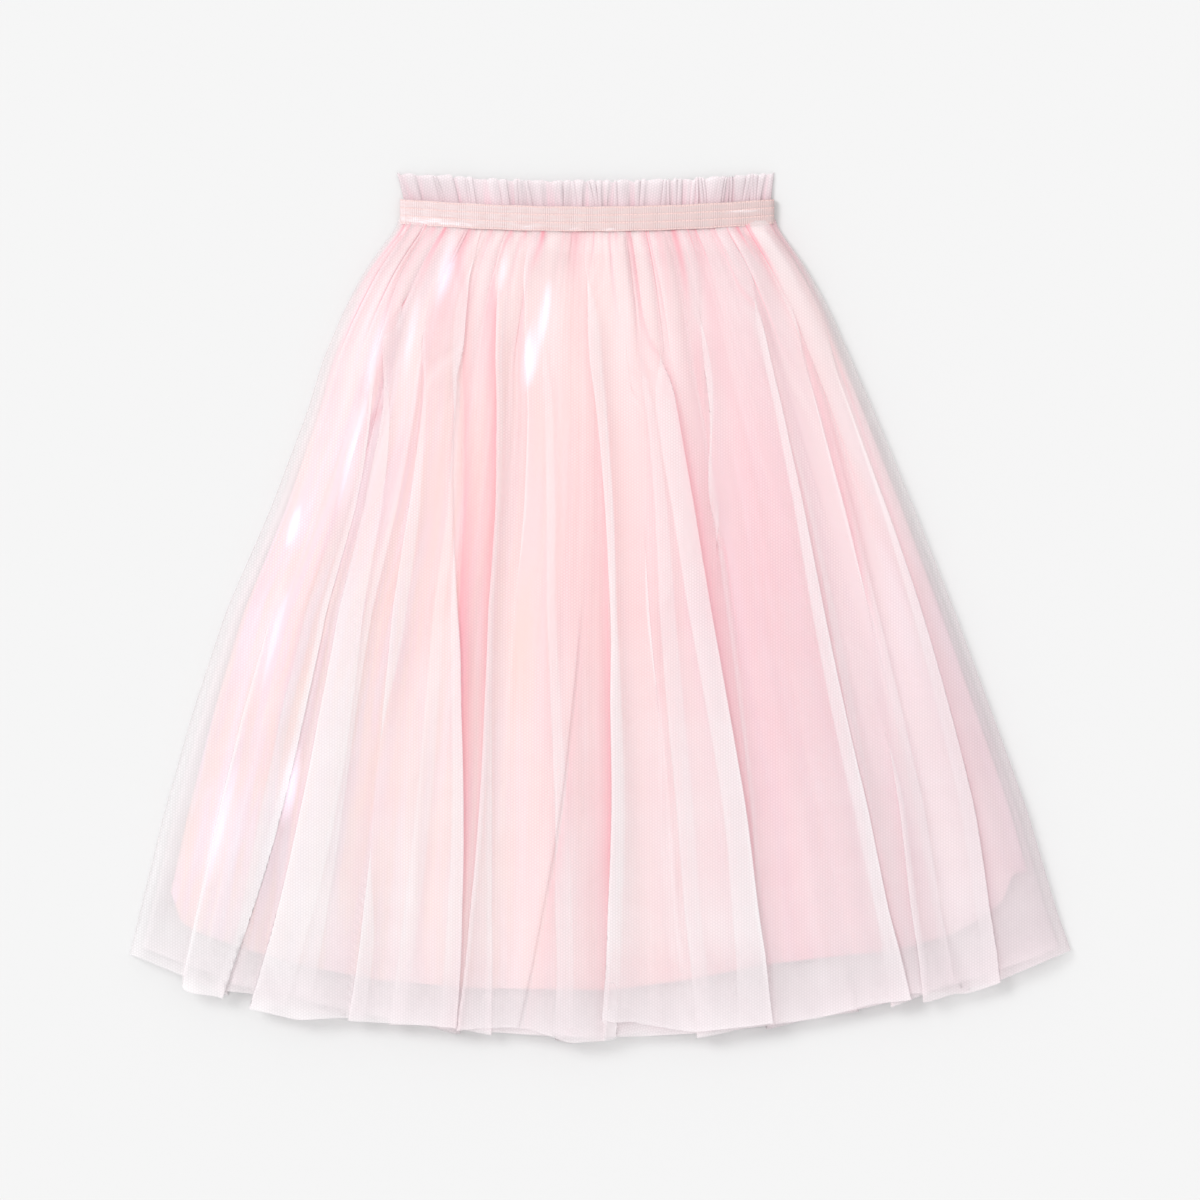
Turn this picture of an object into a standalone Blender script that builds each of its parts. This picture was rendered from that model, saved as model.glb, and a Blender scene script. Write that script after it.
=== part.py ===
"""A girl's tulle skirt, laid flat with its front up: two gathered layers of net over a shimmer satin
underskirt, on an elastic waistband with a ruffled heading.

Run it with: blender --background --python part.py
X runs across the skirt, Y from hem to waist and Z up from the table it lies on. Sizes are in
millimetres and are scaled to metres when the meshes are made.
"""
import math
from collections import namedtuple

import bmesh
import bpy
from mathutils import Vector
from mathutils.bvhtree import BVHTree

MM = 0.001

# ---------------------------------------------------------------- driving sizes
WALL = 1.3            # one layer of cloth
SEAM = 0.3            # clearance between pieces that are sewn together
AIR = 0.6             # least clearance between a layer and the layers that it lies on
BAND_LEFT = -130.7    # ends of the waistband
BAND_RIGHT = 112.7
BAND_DEPTH = 16.3     # from its upper to its lower edge
BAND_WALL = 3.0       # elastic with the gathers caught in it
BAND_ARCH = 3.2       # its front half rises this much in the middle
RIB_HEIGHT = 0.45     # the elastic's three raised rows
WAIST_Y = 245.7       # lower edge of the waistband at its middle
WAIST_SAG = 5.0       # its ends lie this much higher than its middle
RUFFLE_DEPTH = 17.4
RUFFLE_WAVES = 32     # across the front; the back has as many
RUFFLE_FLARE = 0.012  # the free edge is this share wider than the band
RUFFLE_UNEVEN = 1.2   # the free edge goes in and out by this much
RUFFLE_WAVE = (0.8, 3.0)  # height of a wave at the band and at the free edge
RUFFLE_ROWS = (1.0, 0.5, 0.15, 0.0)  # from the free edge to the band; the last strip lies level
GATHERS = 36          # across the front; the back has as many
HEM_MIDDLE = -283.0   # lowest point of the back layers of net
HEM_RADIUS = 800.0    # their hem is an arc of a circle
HEM_CORNERS_Y = -224.0
INSET_GROWS = 150.0   # an inner layer's sides reach their full inset this far below the waist
PROBE_SPACING = 1.1   # how closely a layer feels for the ridges of the layers below it
REACH_COLUMNS = 1.7   # and how far, in spacings of its own points, which lean apart on a fold
PROBE_ROWS = 6        # probes towards the next row of points, each way
SIDE_REACH = 2.5      # how far it feels from its own side, which has to come down
ABOVE_ALL = 200.0     # probes start this high
SIDE_MARGIN = 0.06    # folds fade out this near to a side, as a share of the half width
PUFF_GROWS = 0.3      # a panel's middle stands at its full height this far down

# Side edges of the tulle as it lies: height on the skirt, left edge, right edge.
SIDE_ROWS = (
    (251.0, -130.7, 112.7),
    (238.0, -141.0, 122.5),
    (220.0, -154.0, 135.0),
    (195.0, -167.0, 148.5),
    (162.0, -181.0, 163.0),
    (130.0, -190.5, 177.0),
    (65.0, -215.0, 204.0),
    (0.0, -243.5, 229.5),
    (-65.0, -265.0, 253.5),
    (-130.0, -283.5, 277.0),
    (-195.0, -299.5, 296.0),
    (-224.0, -306.5, 306.5),
)

# Lower edge of the top layer of net, flap by flap, left to right: place across, height.
TOP_HEM_ROWS = (
    (-306.5, -223.0),
    (-293.0, -228.0),
    (-272.0, -237.0),
    (-269.0, -244.0),
    (-246.5, -251.0),
    (-243.0, -243.0),
    (-228.0, -247.5),
    (-225.0, -258.5),
    (-196.0, -264.0),
    (-164.0, -266.0),
    (-131.0, -269.0),
    (-95.0, -272.5),
    (-62.0, -275.5),
    (-51.0, -281.5),
    (-27.0, -283.0),
    (0.0, -280.0),
    (3.0, -266.5),
    (24.0, -266.0),
    (27.0, -277.0),
    (64.0, -277.5),
    (94.0, -273.0),
    (112.0, -268.0),
    (142.0, -265.0),
    (168.0, -260.0),
    (199.0, -252.0),
    (203.0, -255.5),
    (237.0, -253.5),
    (263.0, -240.5),
    (285.0, -231.0),
    (306.5, -220.5),
)

# Lower edge of the underskirt, with its two round corners: place across, height.
UNDERSKIRT_HEM_ROWS = (
    (-287.0, -180.0),
    (-284.0, -196.0),
    (-274.0, -206.0),
    (-262.0, -211.0),
    (-236.0, -220.0),
    (-196.0, -231.0),
    (-150.0, -240.0),
    (-80.0, -245.5),
    (10.0, -246.5),
    (60.0, -240.0),
    (113.0, -230.0),
    (162.0, -224.5),
    (198.0, -221.0),
    (237.0, -211.0),
    (262.0, -198.0),
    (278.0, -186.0),
    (283.0, -170.0),
)

# Long folds of the top net. Each turns under at an edge that faces right (+1) or left (-1). Its row
# gives that edge's place across at the waist, at the middle (Y = 0) and at the hem; the fold's width
# at the waist and at the hem; its height; and where it starts and ends, from 0 at the waist to 1 at
# the hem, or past it.
FOLD_HEIGHTS = (240.0, 0.0, -268.0)
Fold = namedtuple("Fold", "facing waist middle hem waist_width hem_width height start end")
TOP_FOLDS = (
    Fold(-1, -130.0, -214.0, -270.0, 12, 34, 2.5, 0.25, 1.2),
    Fold(+1, -121.0, -176.0, -243.0, 12, 46, 4.0, 0.10, 1.2),
    Fold(-1, -116.0, -171.0, -226.0, 12, 50, 4.5, 0.12, 1.2),
    Fold(-1, -104.0, -134.0, -164.0, 11, 44, 4.0, 0.05, 1.2),
    Fold(+1, -79.0, -89.0, -95.0, 12, 44, 6.5, 0.02, 1.2),
    Fold(-1, -62.0, -74.0, -92.0, 10, 38, 5.5, 0.02, 1.2),
    Fold(-1, -44.0, -54.0, -60.0, 10, 26, 3.5, 0.04, 0.8),
    Fold(+1, 10.0, -8.0, -54.0, 16, 42, 5.0, 0.42, 1.2),
    Fold(-1, -14.0, 3.0, 2.0, 11, 36, 7.0, 0.02, 1.2),
    Fold(+1, 7.0, 33.0, 52.0, 10, 34, 4.5, 0.05, 0.66),
    Fold(+1, 29.0, 71.0, 112.0, 13, 60, 9.0, 0.02, 1.2),
    Fold(-1, 54.0, 71.0, 80.0, 11, 24, 4.5, 0.02, 0.52),
    Fold(+1, 88.0, 146.0, 200.0, 13, 52, 6.0, 0.04, 1.2),
    Fold(+1, 106.0, 168.0, 222.0, 12, 34, 5.0, 0.06, 0.50),
    Fold(+1, 116.0, 209.0, 258.0, 12, 50, 7.0, 0.14, 1.2),
    Fold(-1, 112.0, 222.0, 276.0, 12, 30, 3.0, 0.35, 1.2),
)
STEEPEST_LEAN = 0.17  # share of a fold's width; more would turn its side under
EDGE_PLACE = 0.33     # the steep side lies this share of the width beyond the fold's middle

# Broad soft folds of the shimmer underskirt, with the same columns. They face neither way.
UNDER_FOLDS = (
    Fold(0, -112.0, -186.0, -236.0, 26, 70, 3.0, 0.05, 1.2),
    Fold(0, -84.0, -128.0, -158.0, 22, 66, 2.5, 0.05, 1.2),
    Fold(0, -50.0, -70.0, -84.0, 22, 66, 3.0, 0.05, 1.2),
    Fold(0, -14.0, -10.0, -10.0, 22, 66, 2.5, 0.05, 1.2),
    Fold(0, 22.0, 52.0, 66.0, 22, 66, 3.0, 0.05, 1.2),
    Fold(0, 58.0, 116.0, 144.0, 22, 66, 2.5, 0.05, 1.2),
    Fold(0, 88.0, 176.0, 220.0, 22, 70, 3.0, 0.05, 1.2),
)

Cloth = namedtuple("Cloth", "name colour roughness sheen")
NET = Cloth("Soft tulle net", (0.93, 0.80, 0.82), 0.75, 0.3)
INNER_NET = Cloth("Soft tulle net, inner layer", (0.92, 0.74, 0.77), 0.75, 0.3)
SHIMMER = Cloth("Shimmer satin", (0.93, 0.62, 0.66), 0.35, 0.5)
ELASTIC = Cloth("Shimmer elastic", (0.90, 0.68, 0.69), 0.40, 0.4)


# ---------------------------------------------------------------- small helpers
def ease(t):
    """0 to 1 with a soft start and end."""
    t = min(max(t, 0.0), 1.0)
    return t * t * (3.0 - 2.0 * t)


def between(rows, at, column):
    """A column's value at a place between two rows of a table, on a straight line."""
    rising = rows if rows[0][0] < rows[-1][0] else rows[::-1]
    at = min(max(at, rising[0][0]), rising[-1][0])
    for low, high in zip(rising, rising[1:]):
        if at <= high[0]:
            share = (at - low[0]) / (high[0] - low[0])
            return low[column] + share * (high[column] - low[column])
    return rising[-1][column]


def softened(rows, at, column, reach):
    """The same, averaged over a short reach, so that corners are round."""
    places = (-1.0, -0.5, 0.0, 0.5, 1.0)
    return sum(between(rows, at + reach * p, column) for p in places) / len(places)


# ---------------------------------------------------------------- plan of the skirt
def side_edges(y):
    """Left and right edges of the tulle at a height on the skirt. Below the table they run on."""
    last, previous = SIDE_ROWS[-1], SIDE_ROWS[-3]
    if y > last[0]:
        return tuple(softened(SIDE_ROWS, y, column, 9.0) for column in (1, 2))
    below = (last[0] - y) / (previous[0] - last[0])
    return tuple(last[column] + below * (last[column] - previous[column]) for column in (1, 2))


def waist_line(x):
    """Height of the waistband's lower edge at a place across: its ends lie higher."""
    middle = (BAND_LEFT + BAND_RIGHT) / 2
    half = (BAND_RIGHT - BAND_LEFT) / 2
    return WAIST_Y + WAIST_SAG * ((x - middle) / half) ** 2


def arc_hem(x, raised=0.0):
    """Height of a hem that is an arc of a circle, or lies a little above that arc."""
    return HEM_MIDDLE + raised + HEM_RADIUS - math.sqrt(HEM_RADIUS ** 2 - x * x)


def top_net_hem(x):
    return between(TOP_HEM_ROWS, x, 1)


def inner_net_hem(x):
    return arc_hem(x, 3.0)


def back_net_hem(x):
    return arc_hem(x)


def inner_back_hem(x):
    return arc_hem(x, 5.0)


def underskirt_hem(x):
    return softened(UNDERSKIRT_HEM_ROWS, x, 1, 6.0)


def panel_edges(panel, y):
    """Left and right edges of a panel at a height on the skirt: inner layers lie further in."""
    left, right = side_edges(y)
    grown = ease((WAIST_Y - y) / INSET_GROWS)
    left += panel.waist_inset + panel.left_inset * grown
    right -= panel.waist_inset + panel.right_inset * grown
    return left, right


def place_across(edges, across):
    """A place between two edges, for across from -1 to 1."""
    left, right = edges
    return (left + right) / 2 + across * (right - left) / 2


def plan(panel, across, down):
    """Where a point of a panel lies on the table, before its folds lean."""
    top = waist_line(place_across((BAND_LEFT, BAND_RIGHT), across)) - SEAM
    hem = panel.hem(place_across(panel_edges(panel, HEM_CORNERS_Y), across))
    y = top + (hem - top) * down
    return place_across(panel_edges(panel, y), across), y


# ---------------------------------------------------------------- folds and gathers
def edge_line(fold, down):
    """A fold's place across the panel, from -1 to 1: a curve through its three given places."""
    across = []
    for x, y in zip((fold.waist, fold.middle, fold.hem), FOLD_HEIGHTS):
        left, right = side_edges(y)
        across.append((x - (left + right) / 2) / ((right - left) / 2))
    waist, middle, hem = across
    bend = 2.0 * (waist + hem) - 4.0 * middle
    return waist + (hem - waist) * down + bend * down * (down - 1.0)


def bell(distance, width):
    """A soft ridge: 1 on its crest, 0 from half its width away."""
    if abs(distance) >= width / 2:
        return 0.0
    return math.cos(math.pi * distance / width) ** 2


def fold_offset(folds, across, down, half):
    """How far the long folds move a point sideways and up."""
    sideways = up = 0.0
    for fold in folds:
        width = fold.waist_width + (fold.hem_width - fold.waist_width) * down
        middle = edge_line(fold, down) * half - fold.facing * EDGE_PLACE * width
        ridge = bell(across * half - middle, width)
        shown = ease((down - fold.start) / 0.16) * (1.0 - ease((down - fold.end + 0.12) / 0.12))
        sideways += fold.facing * STEEPEST_LEAN * width * ridge * shown
        up += fold.height * ridge * shown
    return sideways, up


def gather_height(across, down, count, height):
    """Small gathers below the waistband. No two run equally far or stand equally high."""
    turn = (across + 1.0) / 2.0 * count
    gather = math.floor(turn + 0.5)
    size = 0.72 + 0.28 * math.sin(2.3 * gather)
    reach = 0.20 + 0.09 * math.sin(1.7 * gather + 0.6) + 0.05 * math.cos(3.1 * gather)
    fade = 1.0 - ease(down / reach)
    swell = 0.6 + 0.4 * ease(down / 0.05)
    return height * size * swell * fade * (0.5 + 0.5 * math.cos(2.0 * math.pi * turn))


Panel = namedtuple(
    "Panel",
    "name cloth hem waist_inset left_inset right_inset columns rows puff folds gathers gather_height"
    " side_rests",
)
LEVEL_STRIP = 0.012   # the first strip below a seam lies level
ROWS_FINE = (0.0, LEVEL_STRIP, 0.05, 0.10, 0.16, 0.24, 0.34, 0.46, 0.60, 0.74, 0.87, 1.0)
ROWS_PLAIN = (0.0, LEVEL_STRIP, 0.05, 0.10, 0.24, 0.46, 0.74, 1.0)

# Name, cloth and hem; insets at the waist and below it; columns and rows of points; how far the
# panel puffs up in its middle; its long folds; its gathers and their height; and whether its sides
# come down to rest on the back half of the same tube.
PANELS = (
    Panel("tulle_outer_back", NET, back_net_hem, 0.0, 0.0, 0.0, 72, ROWS_PLAIN,
          0.0, (), GATHERS, 2.0, False),
    Panel("tulle_inner_back", INNER_NET, inner_back_hem, 4.0, 3.0, 3.0, 24, ROWS_PLAIN,
          0.0, (), 0, 0.0, False),
    Panel("underskirt_back", SHIMMER, underskirt_hem, 6.0, 14.0, 4.0, 24, ROWS_PLAIN,
          0.0, (), 0, 0.0, False),
    Panel("underskirt_front", SHIMMER, underskirt_hem, 6.0, 14.0, 4.0, 42, ROWS_PLAIN,
          2.2, UNDER_FOLDS, 0, 0.0, False),
    Panel("tulle_inner_front", INNER_NET, inner_net_hem, 4.0, 3.0, 3.0, 42, ROWS_PLAIN,
          2.0, (), 0, 0.0, False),
    Panel("tulle_outer_front", NET, top_net_hem, 0.0, 0.0, 0.0, 144, ROWS_FINE,
          1.5, TOP_FOLDS, GATHERS, 2.8, True),
)


# ---------------------------------------------------------------- making the pieces
def material_for(cloth):
    """One Principled material for each cloth."""
    found = bpy.data.materials.get(cloth.name)
    if found:
        return found
    material = bpy.data.materials.new(cloth.name)
    material.use_nodes = True
    shader = material.node_tree.nodes["Principled BSDF"]
    shader.inputs["Base Color"].default_value = (*cloth.colour, 1.0)
    shader.inputs["Roughness"].default_value = cloth.roughness
    shader.inputs["Sheen Weight"].default_value = cloth.sheen
    return material


def add_object(name, mesh, cloth, collection):
    piece = bpy.data.objects.new(name, mesh)
    mesh.materials.append(material_for(cloth))
    collection.objects.link(piece)
    return piece


def grid_mesh(name, columns, rows, place):
    """A net of faces from the Grid primitive, whose points are then put in place.

    place(across, row) gives a point in millimetres, with across from -1 to 1.
    """
    mesh = bpy.data.meshes.new(name)
    bm = bmesh.new()
    bmesh.ops.create_grid(bm, x_segments=columns, y_segments=rows, size=1.0)
    for vert in bm.verts:
        row = round((1.0 - vert.co.y) / 2.0 * rows)
        vert.co = Vector(place(vert.co.x, row)) * MM
    bmesh.ops.recalc_face_normals(bm, faces=bm.faces)
    if sum(face.normal.z for face in bm.faces) < 0.0:
        bmesh.ops.reverse_faces(bm, faces=bm.faces)
    bm.to_mesh(mesh)
    bm.free()
    mesh.shade_smooth()
    return mesh


def add_wall(piece, thickness):
    """Cloth thickness on the side that faces away from the table."""
    wall = piece.modifiers.new("Cloth thickness", "SOLIDIFY")
    wall.thickness = thickness * MM
    wall.offset = 1.0


def pile_top(pile, x, y, reach_x, reach_y):
    """Top of the layers already laid, at a point and as far around it as the next points."""
    count_x = math.ceil(reach_x / PROBE_SPACING)
    top = 0.0
    for n in range(-count_x, count_x + 1):
        for m in range(-PROBE_ROWS, PROBE_ROWS + 1):
            place = (x + reach_x * n / count_x, y + reach_y * m / PROBE_ROWS, ABOVE_ALL)
            start = Vector(place) * MM
            for layer in pile:
                hit = layer.ray_cast(start, Vector((0.0, 0.0, -1.0)))[0]
                if hit:
                    top = max(top, hit.z / MM)
    return top


def tree_of(piece):
    """The finished solid of a piece, for laying the next one on."""
    return BVHTree.FromObject(piece, bpy.context.evaluated_depsgraph_get())


def lay_panel(panel, pile, collection):
    """One half of a gathered tube of cloth, laid on the pile below it with its folds on top."""
    def place(across, row):
        down = panel.rows[row]
        shown = max(down, LEVEL_STRIP)
        x, y = plan(panel, across, down)
        left, right = side_edges(y)
        half = (right - left) / 2
        sideways, up = fold_offset(panel.folds, across, shown, half)
        up += gather_height(across, shown, panel.gathers, panel.gather_height) if panel.gathers else 0.0
        edge = ease((1.0 - abs(across)) / SIDE_MARGIN)
        up += panel.puff * (1.0 - across * across) * ease(shown / PUFF_GROWS)
        x += sideways * edge
        if not pile:
            return x, y, up * edge
        reach_y = max(
            abs(plan(panel, across, panel.rows[other])[1] - y)
            for other in (max(row - 1, 0), min(row + 1, len(panel.rows) - 1))
        )
        reach_x = REACH_COLUMNS * 2.0 * half / panel.columns
        if panel.side_rests and abs(across) > 0.999:
            reach_x = reach_y = SIDE_REACH
        below = pile_top(pile, x, y, reach_x, reach_y)
        return x, y, below + AIR + up * edge

    mesh = grid_mesh(panel.name, panel.columns, len(panel.rows) - 1, place)
    piece = add_object(panel.name, mesh, panel.cloth, collection)
    add_wall(piece, WALL)
    return piece


# The elastic's outer side, from its lower to its upper edge: share of its depth, and 1 on a row.
RIBS = ((0.00, 0), (0.04, 1), (0.30, 1), (0.34, 0), (0.38, 1), (0.62, 1), (0.66, 0), (0.70, 1),
        (0.96, 1), (1.00, 0))


def band_section(x, underside):
    """Section of the waistband at a place across, as a ring of points: plain inside, ribbed outside."""
    lower = waist_line(x)
    inside = [(x, lower + BAND_DEPTH, underside), (x, lower, underside)]
    outside = [
        (x, lower + share * BAND_DEPTH, underside + BAND_WALL - RIB_HEIGHT * (1 - raised))
        for share, raised in RIBS
    ]
    return inside + outside


def make_band(name, stations, underside, arch, collection):
    """Half of the elastic: sections lofted from side to side, with closed ends."""
    mesh = bpy.data.meshes.new(name)
    bm = bmesh.new()
    rings = []
    for n in range(stations + 1):
        across = 2.0 * n / stations - 1.0
        x = place_across((BAND_LEFT, BAND_RIGHT), across)
        section = band_section(x, underside + arch * (1.0 - across ** 4))
        rings.append([bm.verts.new(Vector(point) * MM) for point in section])
    for ring, following in zip(rings, rings[1:]):
        for n in range(len(ring)):
            m = (n + 1) % len(ring)
            bm.faces.new((ring[n], ring[m], following[m], following[n]))
    bm.faces.new(rings[0])
    bm.faces.new(rings[-1])
    bmesh.ops.recalc_face_normals(bm, faces=bm.faces)
    bm.to_mesh(mesh)
    bm.free()
    return add_object(name, mesh, ELASTIC, collection)


def make_ruffle(name, pile, columns, lift, collection):
    """Half of the heading: a strip of net that waves more and more towards its free edge."""
    middle = (BAND_LEFT + BAND_RIGHT) / 2
    half = (BAND_RIGHT - BAND_LEFT) / 2

    def place(across, row):
        outward = RUFFLE_ROWS[row]
        spread = max(outward, RUFFLE_ROWS[-2])
        wave = (across + 1.0) / 2.0 * RUFFLE_WAVES
        size = 1.0 + 0.25 * math.sin(2.1 * math.floor(wave + 0.5))
        x = middle + across * half * (1.0 + RUFFLE_FLARE * outward)
        y = waist_line(middle + across * half) + BAND_DEPTH + SEAM
        y += outward * (RUFFLE_DEPTH + RUFFLE_UNEVEN * math.sin(0.9 * wave))
        height = lift * (1.0 - across ** 4)
        tall = RUFFLE_WAVE[0] + (RUFFLE_WAVE[1] - RUFFLE_WAVE[0]) * spread
        height += tall * size * (0.5 + 0.5 * math.cos(2.0 * math.pi * wave))
        if pile:
            height += SEAM + pile_top(pile, x, y, 2.2 * half / columns, 0.2 * RUFFLE_DEPTH)
        return x, y, height

    mesh = grid_mesh(name, columns, len(RUFFLE_ROWS) - 1, place)
    piece = add_object(name, mesh, NET, collection)
    add_wall(piece, WALL)
    return piece


def main():
    for old in list(bpy.data.objects):
        bpy.data.objects.remove(old, do_unlink=True)
    collection = bpy.data.collections.new("Tulle skirt")
    bpy.context.scene.collection.children.link(collection)

    make_band("waistband_back", 16, 0.0, 0.0, collection)
    make_band("waistband_front", 24, BAND_WALL + SEAM, BAND_ARCH, collection)

    ruffle_pile = []
    back = make_ruffle("ruffle_back", ruffle_pile, 2 * RUFFLE_WAVES, 0.0, collection)
    ruffle_pile.append(tree_of(back))
    make_ruffle("ruffle_front", ruffle_pile, 4 * RUFFLE_WAVES, 1.5, collection)

    pile = []
    for panel in PANELS:
        piece = lay_panel(panel, pile, collection)
        pile.append(tree_of(piece))


main()
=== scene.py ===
# %% [markdown]
# A girl's tulle skirt, laid flat with its front up. A maker cuts two gathered tubes of soft net, a
# shorter tube of shimmer satin and a length of shimmer elastic. Every layer here is a thin sheet of
# its own, so the net can be seen through as real net can, and what shows is truly layer on layer.
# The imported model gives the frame: each sheet lies where its solid lies.

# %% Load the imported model
import math
from collections import namedtuple

import bpy
import numpy as np
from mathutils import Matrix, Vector


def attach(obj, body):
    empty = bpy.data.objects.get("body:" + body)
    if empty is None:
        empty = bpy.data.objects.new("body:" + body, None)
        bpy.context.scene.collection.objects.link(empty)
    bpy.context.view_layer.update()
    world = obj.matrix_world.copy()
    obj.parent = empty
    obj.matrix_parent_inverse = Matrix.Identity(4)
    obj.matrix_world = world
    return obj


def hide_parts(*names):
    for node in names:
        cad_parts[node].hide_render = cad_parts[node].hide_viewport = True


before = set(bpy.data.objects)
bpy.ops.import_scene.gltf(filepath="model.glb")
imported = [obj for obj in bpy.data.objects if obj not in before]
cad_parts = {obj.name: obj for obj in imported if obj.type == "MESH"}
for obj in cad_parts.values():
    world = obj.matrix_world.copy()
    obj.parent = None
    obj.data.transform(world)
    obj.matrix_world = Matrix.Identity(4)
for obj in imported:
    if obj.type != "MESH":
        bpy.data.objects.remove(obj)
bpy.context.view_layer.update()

# %% [markdown]
# Colours are written as sRGB hex values, the way a dye card gives them. Shaders work with linear
# light, so one function turns them. One more function adds a node with its settings and links.

# %% Colour, node and object helpers
MM = 0.001
scene = bpy.context.scene


def dye(hex_value):
    """An sRGB hex colour as linear red, green, blue and alpha."""
    parts = [int(hex_value[n:n + 2], 16) / 255 for n in (0, 2, 4)]
    return (*[p / 12.92 if p <= 0.04045 else ((p + 0.055) / 1.055) ** 2.4 for p in parts], 1)


def add(tree, kind, inputs=None, **settings):
    """A new node with its settings. Each input is given a value, or a socket to link from. A node
    stands for its first output."""
    node = tree.nodes.new(kind)
    for name, value in settings.items():
        setattr(node, name, value)
    for name, value in (inputs or {}).items():
        if isinstance(value, bpy.types.Node):
            value = value.outputs[0]
        if isinstance(value, bpy.types.NodeSocket):
            tree.links.new(value, node.inputs[name])
        else:
            node.inputs[name].default_value = value
    return node


def dyed(ramp, stops):
    """Give a colour ramp its run of dyes, over an amount from 0 to 1."""
    while len(ramp.color_ramp.elements) < len(stops):
        ramp.color_ramp.elements.new(0.5)
    for element, (at, hex_value) in zip(ramp.color_ramp.elements, stops):
        element.position, element.color = at, dye(hex_value)
    return ramp.outputs["Color"]


def new_material(name):
    """A material with an empty node tree."""
    material = bpy.data.materials.new(name)
    material.use_nodes = True
    material.node_tree.nodes.clear()
    return material, material.node_tree


def placed(name, data):
    """A new object in the scene."""
    made = bpy.data.objects.new(name, data)
    scene.collection.objects.link(made)
    return made


print("linear value of a mid pink:", [round(c, 3) for c in dye("FBD6DD")])

# %% [markdown]
# The camera looks straight down from far above with a long lens, so nothing leans outwards. A wide
# view of 780 mm holds the skirt with a pale margin.

# %% Camera
VIEW_WIDTH = 0.78
CAMERA_HEIGHT = 6

camera_data = bpy.data.cameras.new("Camera")
camera_data.sensor_width = 36
camera_data.lens = 36 * CAMERA_HEIGHT / VIEW_WIDTH
camera_data.clip_end = 40
camera = placed("Camera", camera_data)
camera.location = (-0.00065, 0.0065, CAMERA_HEIGHT)
scene.camera = camera
print("lens, mm:", round(camera_data.lens))

# %% [markdown]
# A pale floor and soft studio light. An even white surround fills every fold, and one broad sun from
# the upper left gives the folds their shape and leaves a faint shadow on the right and below. A sun
# lights the whole floor evenly, so the floor stays one plain tone. Net is seen through many times
# over, so rays may pass through more layers than Blender allows by itself.

# %% Floor and light
scene.view_settings.view_transform = "Standard"
scene.cycles.transparent_max_bounces = 32
scene.cycles.diffuse_bounces = 6

world = bpy.data.worlds.new("Studio")
world.use_nodes = True
surround = world.node_tree.nodes["Background"].inputs
surround["Color"].default_value = dye("FFFFFF")
surround["Strength"].default_value = 0.92
scene.world = world

sun_data = bpy.data.lights.new("Window", "SUN")
sun_data.energy = 1.5
sun_data.angle = math.radians(24)
sun = placed("Window", sun_data)
sun.rotation_euler = Vector((-0.8, 0.62, 0.95)).to_track_quat("Z", "Y").to_euler()

paper, tree = new_material("Matt studio paper")
surface = add(tree, "ShaderNodeBsdfPrincipled", {
    "Base Color": dye("DFDFDF"), "Roughness": 0.9, "Specular IOR Level": 0.1})
add(tree, "ShaderNodeOutputMaterial", {"Surface": surface})

floor_mesh = bpy.data.meshes.new("Floor")
floor_mesh.from_pydata([(-5, -5, 0), (5, -5, 0), (5, 5, 0), (-5, 5, 0)], [], [(0, 1, 2, 3)])
floor_mesh.materials.append(paper)
floor = placed("Floor", floor_mesh)
print("floor, m:", [round(side) for side in floor.dimensions])

# %% [markdown]
# The skirt's plan. Two short tables hold what a tape measure would find: how wide the skirt lies at
# each height, and how low each flap of the net reaches. All the sheets are worked out from them, in
# millimetres, so the layers agree with each other and with the solids of the part.

# %% Sizes and plan
BAND_LEFT = -130.7  # ends of the waistband
BAND_RIGHT = 112.7
BAND_DEPTH = 16.3
WAIST_Y = 245.7     # lower edge of the waistband at its middle
WAIST_SAG = 5       # its ends lie this much higher
HEM_MIDDLE = -283   # lowest point of the hidden layers of net
HEM_RADIUS = 800    # their hem is an arc of a circle
HEM_HALF = 306.5    # half the width of the skirt where the hem's arc ends
INSET_GROWS = 420   # inner layers reach their full inset this far below the waist

# Side edges of the net: height on the skirt, left edge, right edge.
SIDE_ROWS = np.array((
    (-290, -322.6, 327.2), (-224, -306.5, 306.5), (-195, -299.5, 296), (-130, -283.5, 277),
    (-65, -265, 253.5), (0, -243.5, 229.5), (65, -215, 204), (130, -190.5, 177), (162, -181, 163),
    (195, -167, 148.5), (220, -154, 135), (238, -141, 122.5), (251, -130.7, 112.7),
))

# Lower edge of the top net where no lap hangs lower: place across, height.
TOP_HEM_ROWS = np.array((
    (-306.5, -223), (-272, -237), (-245, -247), (-226, -249), (-196, -261), (-164, -264.5),
    (-95, -272), (-56, -270.5), (-46, -272), (-20, -281), (8, -279), (24, -268), (60, -274),
    (112, -269), (142, -265), (204, -248.5), (237, -249), (260, -240), (306.5, -220.5),
))

# Lower edge of the underskirt with its two round corners: place across, height.
UNDERSKIRT_HEM_ROWS = np.array((
    (-287, -180), (-284, -196), (-274, -206), (-262, -211), (-236, -220), (-196, -231),
    (-150, -240), (-80, -245.5), (10, -246.5), (60, -240), (113, -230), (162, -224.5),
    (198, -221), (237, -211), (262, -198), (278, -186), (283, -170),
))


def ease(t):
    """0 to 1 with a soft start and end."""
    t = np.clip(t, 0, 1)
    return t * t * (3 - 2 * t)


def softened(rows, at, column, reach):
    """A table's column between its rows, averaged over a short reach so that corners are round."""
    places = np.linspace(-reach, reach, 7)
    return sum(np.interp(at + place, rows[:, 0], rows[:, column]) for place in places) / 7


def side_edges(y):
    """Left and right edges of the net at a height on the skirt."""
    return softened(SIDE_ROWS, y, 1, 8), softened(SIDE_ROWS, y, 2, 8)


def waist_line(x):
    """Height of the waistband's lower edge at a place across."""
    middle, half = (BAND_LEFT + BAND_RIGHT) / 2, (BAND_RIGHT - BAND_LEFT) / 2
    return WAIST_Y + WAIST_SAG * ((x - middle) / half) ** 2


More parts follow.
